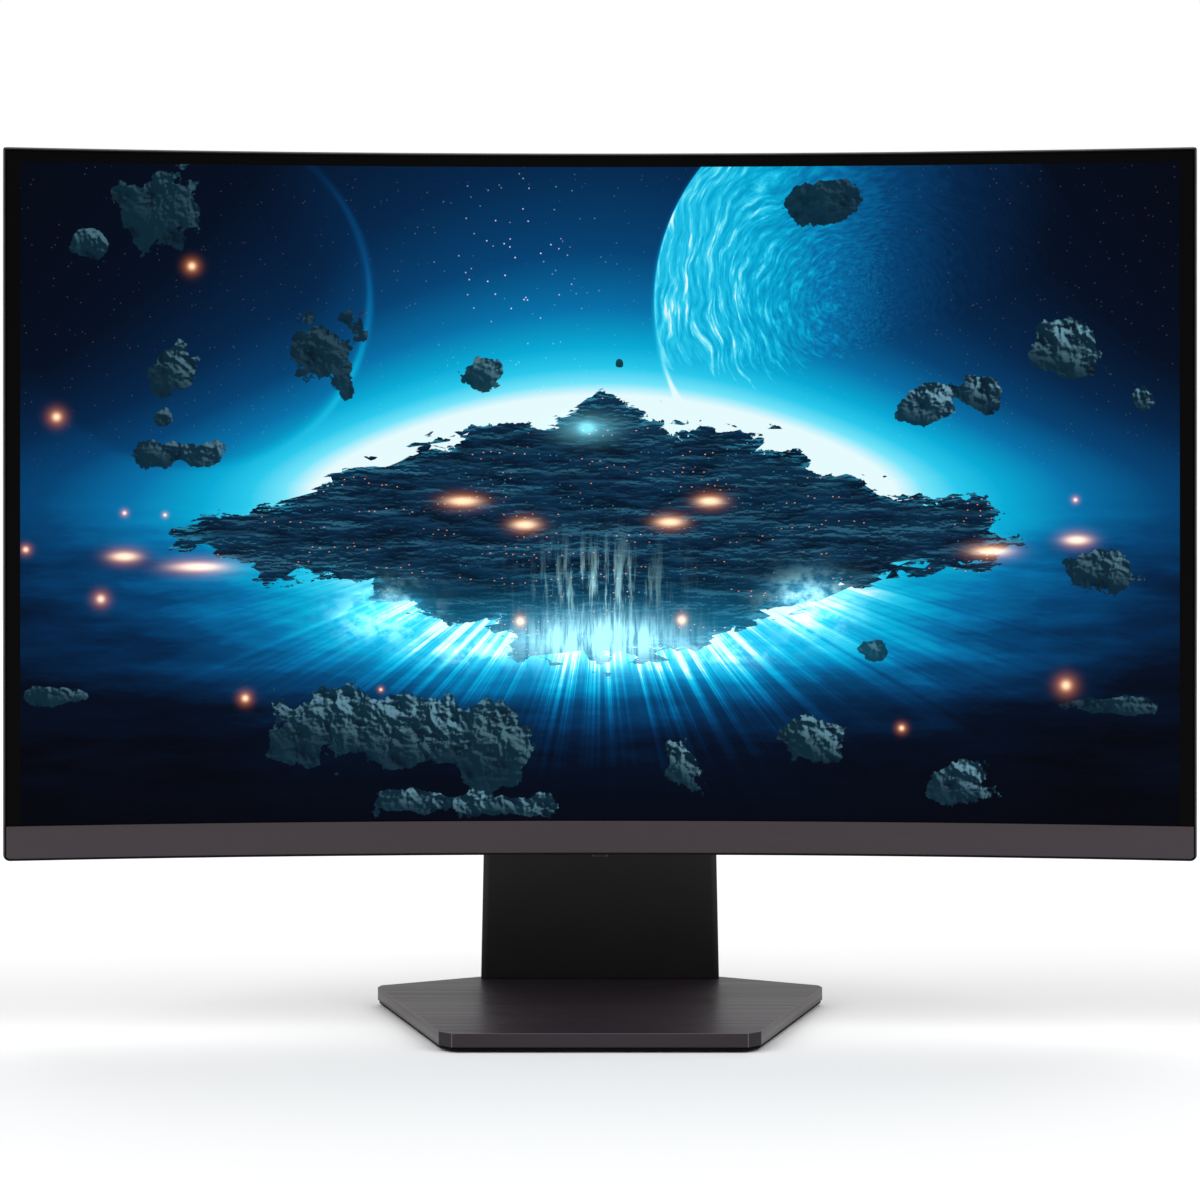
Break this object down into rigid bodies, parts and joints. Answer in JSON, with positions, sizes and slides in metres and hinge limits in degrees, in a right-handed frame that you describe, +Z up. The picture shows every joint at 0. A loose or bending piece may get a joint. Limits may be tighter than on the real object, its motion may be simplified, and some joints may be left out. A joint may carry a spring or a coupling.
{
  "type": "computer monitor",
  "caption": "Curved widescreen desktop monitor: thin-framed concave panel on a tilting flat neck with an angular weighted base, rear sockets and a control stick.",
  "frame": {"origin": "on the desk, at the middle of the base's footprint", "axes": "+Z up, +X to the viewer's right, the screen faces -Y"},
  "size_m": [0.609, 0.206, 0.455],
  "materials": {
    "cover_black": "fine moulded texture",
    "frame_black": "satin",
    "strip_finish": "satin brushed purple-grey",
    "screen_glass": "glossy dark panel",
    "white_plastic": "satin",
    "diffuser_film": "translucent film",
    "clear_acrylic": "clear",
    "led_strip": "white board with yellow lamps",
    "steel": "zinc coated",
    "board_green": "solder mask",
    "film_amber": "polyimide film",
    "chip_black": "moulded",
    "sink_grey": "anodised",
    "socket_metal": "plated",
    "cable_white": "flat cable",
    "cable_yellow": "wire",
    "cable_black": "sleeve",
    "lens_clear": "frosted",
    "screw_dark": "black zinc",
    "screw_bright": "zinc",
    "bronze": "plain",
    "stick_black": "soft touch",
    "stick_metal": "plated",
    "neck_black": "fine satin",
    "hinge_dark": "powder coat",
    "cast_grey": "as cast",
    "base_finish": "brushed purple-grey",
    "weight_steel": "plain sheet",
    "tray_black": "moulded",
    "rubber_black": "matt"
  },
  "bodies": {
    "stand": {"neck_front_cover": "neck_black", "neck_rear_cover": "neck_black", "neck_core": "steel", "neck_foot": "cast_grey", "hinge_bracket": "hinge_dark", "bracket_screws": "screw_bright", "hinge_caps": "frame_black", "locating_pins": "screw_bright", "base_cover": "base_finish", "base_weight": "weight_steel", "base_tray": "tray_black", "rubber_feet": "rubber_black", "tray_screws": "screw_dark"},
    "head": {"rear_cover": "cover_black", "middle_frame": "frame_black", "lower_strip": "strip_finish", "lcd_cell": "screen_glass", "inner_frame": "white_plastic", "optical_sheets": "diffuser_film", "light_guide": "clear_acrylic", "reflector_sheet": "white_plastic", "led_bar": "led_strip", "panel_chassis": "steel", "source_board": "board_green", "driver_films": "film_amber", "vesa_plate": "steel", "board_bracket": "steel", "main_board": "board_green", "board_parts": "chip_black", "board_shield": "steel", "heat_sink": "sink_grey", "video_sockets": "socket_metal", "audio_socket": "chip_black", "power_inlet": "chip_black", "panel_flat_cable": "cable_white", "led_cable": "cable_yellow", "stick_housing": "chip_black", "stick_board": "board_green", "stick_cable": "cable_black", "power_light_lens": "lens_clear", "lock_slot_insert": "steel", "cover_screws": "screw_dark", "board_screws": "screw_bright", "release_plate": "hinge_dark", "hinge_arm": "hinge_dark", "arm_screws": "screw_bright", "hinge_shaft": "screw_bright", "friction_washers": "bronze", "hinge_nuts": "screw_bright"},
    "stick_ring": {"stick_gimbal": "stick_metal"},
    "stick_block": {"stick_cradle": "stick_metal"},
    "stick": {"stick_knob": "stick_black"},
    "release": {"release_button": "stick_black", "latch_bolt": "stick_metal", "latch_spring": "screw_bright"},
    "base_screw": {"thumb_screw": "stick_metal"},
    "ring": {"screw_ring": "screw_bright"}
  },
  "joints": [
    {"name": "tilt", "type": "hinge", "parent": "stand", "child": "head", "pos_m": [0, 0.033, 0.275], "axis": [-1, 0, 0], "range_deg": [-5, 15]},
    {"name": "stick_sideways", "type": "hinge", "parent": "head", "child": "stick_ring", "pos_m": [0, -0.0085, 0.0996], "axis": [0, 1, 0], "range_deg": [-5, 5], "stiffness_Nm_per_rad": 0.05},
    {"name": "stick_fore_aft", "type": "hinge", "parent": "stick_ring", "child": "stick_block", "pos_m": [0, -0.0085, 0.0996], "axis": [1, 0, 0], "range_deg": [-5, 5], "stiffness_Nm_per_rad": 0.05},
    {"name": "stick_press", "type": "slide", "parent": "stick_block", "child": "stick", "axis": [0, 0, 1], "range_m": [0, 0.0006], "stiffness_N_per_m": 800, "springref_m": -0.001},
    {"name": "release_slide", "type": "slide", "parent": "head", "child": "release", "axis": [0, 0, -1], "range_m": [0, 0.0045], "stiffness_N_per_m": 600, "springref_m": -0.003, "deforming": ["latch_spring"]},
    {"name": "base_screw_turn", "type": "hinge", "parent": "stand", "child": "base_screw", "pos_m": [0, 0.0905, 0.005], "axis": [0, 0, -1], "range_deg": [-1080, 0]},
    {"name": "ring_fold", "type": "hinge", "parent": "base_screw", "child": "ring", "pos_m": [0, 0.0905, 0.0019], "axis": [1, 0, 0], "range_deg": [0, 90]}
  ]
}
